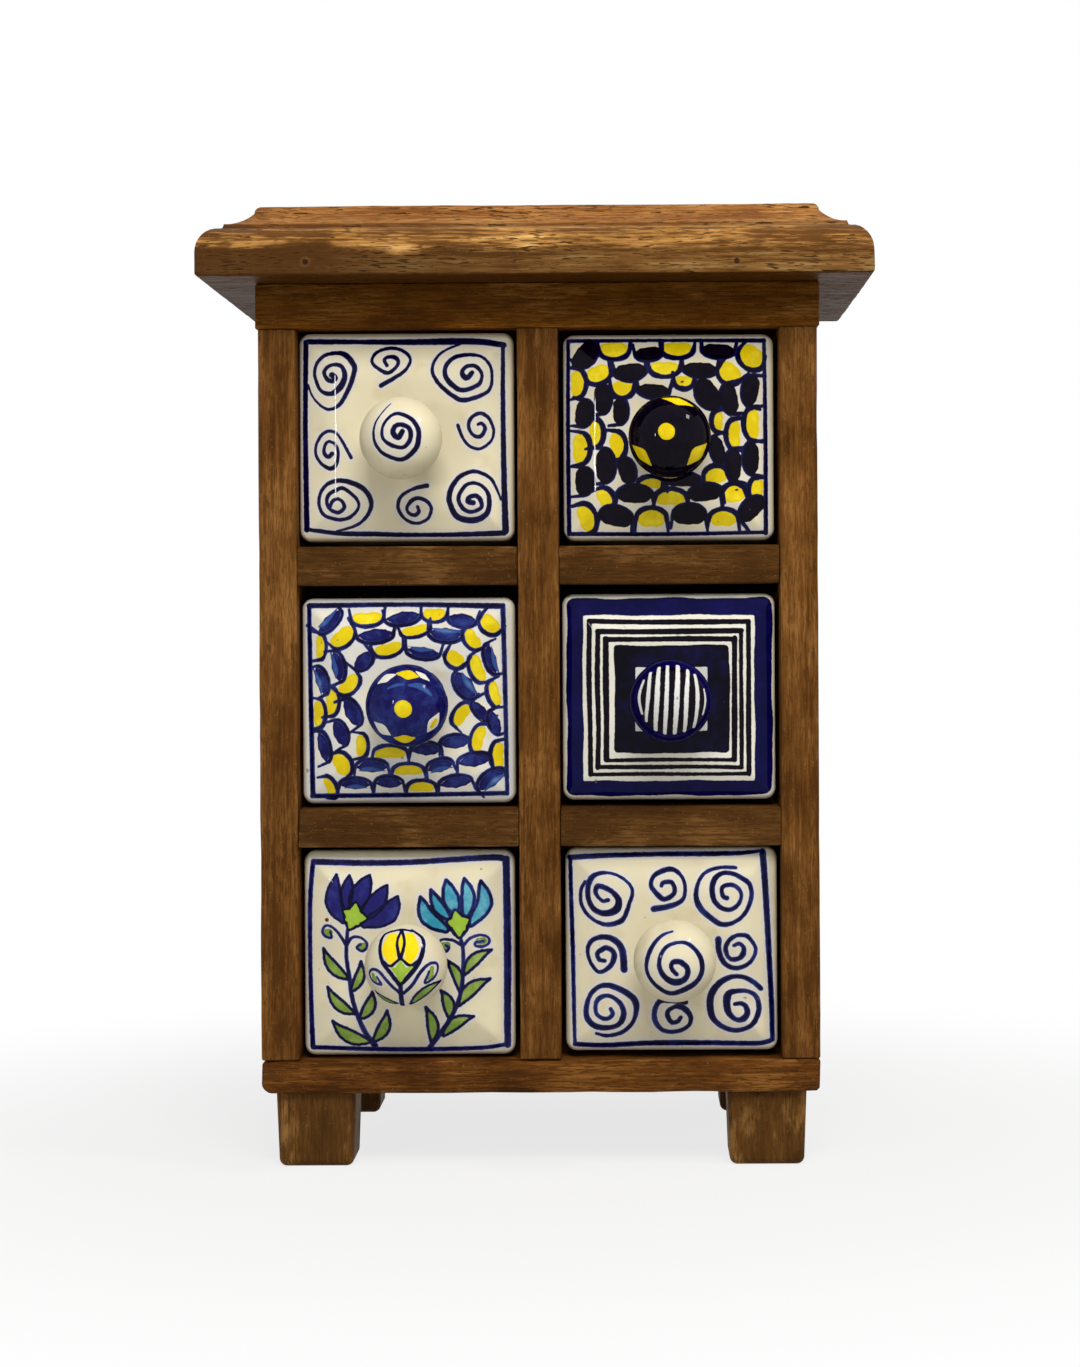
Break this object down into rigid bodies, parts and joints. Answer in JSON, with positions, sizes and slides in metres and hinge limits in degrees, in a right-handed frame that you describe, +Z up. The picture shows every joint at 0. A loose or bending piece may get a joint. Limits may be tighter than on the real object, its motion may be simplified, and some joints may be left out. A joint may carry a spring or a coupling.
{
  "type": "spice drawer cabinet",
  "caption": "Small wooden tabletop chest on block feet with a moulded top and hand-painted ceramic spice drawers with round knobs.",
  "frame": {"origin": "on the surface the feet stand on, under the middle of the whole outline, knobs included", "axes": "+Z up, +X to the right seen from the front, the drawers face and slide out towards -Y"},
  "size_m": [0.2, 0.1372, 0.289],
  "materials": {
    "top_wood": "waxed light wood with worn edges and a warm grain",
    "case_wood": "waxed honey brown wood, vertical grain",
    "shelf_wood": "waxed darker brown wood",
    "foot_wood": "waxed wood with softened edges",
    "back_ply": "thin unfinished panel",
    "dowel_wood": "plain pegs",
    "nail_steel": "bright wire nails, dulled",
    "screw_steel": "zinc coated slotted screws",
    "pottery_top_left": "glossy cream glaze with dark blue brushed spirals and border",
    "pottery_knob_top_left": "glossy cream glaze with one dark blue spiral",
    "pottery_top_right": "glossy cream glaze with yellow and dark blue brushed scales",
    "pottery_knob_top_right": "glossy near-black blue glaze with yellow petals",
    "pottery_middle_left": "glossy cream glaze with light blue and yellow brushed scales",
    "pottery_knob_middle_left": "glossy light blue glaze with yellow dabs",
    "pottery_middle_right": "glossy dark blue glaze bands with cream squares",
    "pottery_knob_middle_right": "glossy dark blue ring with cream and blue stripes",
    "pottery_bottom_left": "glossy cream glaze with brushed blue and turquoise flowers",
    "pottery_knob_bottom_left": "glossy cream glaze with a yellow tulip",
    "pottery_bottom_right": "glossy cream glaze with dark blue brushed spirals and border",
    "pottery_knob_bottom_right": "glossy cream glaze with one dark blue spiral"
  },
  "bodies": {
    "case": {"moulded_top": "top_wood", "header_board": "case_wood", "base_board": "case_wood", "side_left": "case_wood", "side_right": "case_wood", "centre_divider": "case_wood", "shelf_upper_left": "shelf_wood", "shelf_upper_right": "shelf_wood", "shelf_lower_left": "shelf_wood", "shelf_lower_right": "shelf_wood", "back_panel": "back_ply", "foot_front_left": "foot_wood", "foot_front_right": "foot_wood", "foot_back_left": "foot_wood", "foot_back_right": "foot_wood", "header_nails": "nail_steel", "base_nails": "nail_steel", "shelf_nails_left": "nail_steel", "shelf_nails_right": "nail_steel", "shelf_dowels": "dowel_wood", "back_pins": "nail_steel", "top_screws": "screw_steel", "foot_screws": "screw_steel"},
    "top_left_drawer": {"drawer_top_left": "pottery_top_left", "knob_top_left": "pottery_knob_top_left"},
    "top_right_drawer": {"drawer_top_right": "pottery_top_right", "knob_top_right": "pottery_knob_top_right"},
    "middle_left_drawer": {"drawer_middle_left": "pottery_middle_left", "knob_middle_left": "pottery_knob_middle_left"},
    "middle_right_drawer": {"drawer_middle_right": "pottery_middle_right", "knob_middle_right": "pottery_knob_middle_right"},
    "bottom_left_drawer": {"drawer_bottom_left": "pottery_bottom_left", "knob_bottom_left": "pottery_knob_bottom_left"},
    "bottom_right_drawer": {"drawer_bottom_right": "pottery_bottom_right", "knob_bottom_right": "pottery_knob_bottom_right"}
  },
  "joints": [
    {"name": "top_left_drawer_slide", "type": "slide", "parent": "case", "child": "top_left_drawer", "axis": [0, -1, 0], "range_m": [0, 0.1]},
    {"name": "top_right_drawer_slide", "type": "slide", "parent": "case", "child": "top_right_drawer", "axis": [0, -1, 0], "range_m": [0, 0.1]},
    {"name": "middle_left_drawer_slide", "type": "slide", "parent": "case", "child": "middle_left_drawer", "axis": [0, -1, 0], "range_m": [0, 0.1]},
    {"name": "middle_right_drawer_slide", "type": "slide", "parent": "case", "child": "middle_right_drawer", "axis": [0, -1, 0], "range_m": [0, 0.1]},
    {"name": "bottom_left_drawer_slide", "type": "slide", "parent": "case", "child": "bottom_left_drawer", "axis": [0, -1, 0], "range_m": [0, 0.1]},
    {"name": "bottom_right_drawer_slide", "type": "slide", "parent": "case", "child": "bottom_right_drawer", "axis": [0, -1, 0], "range_m": [0, 0.1]}
  ]
}
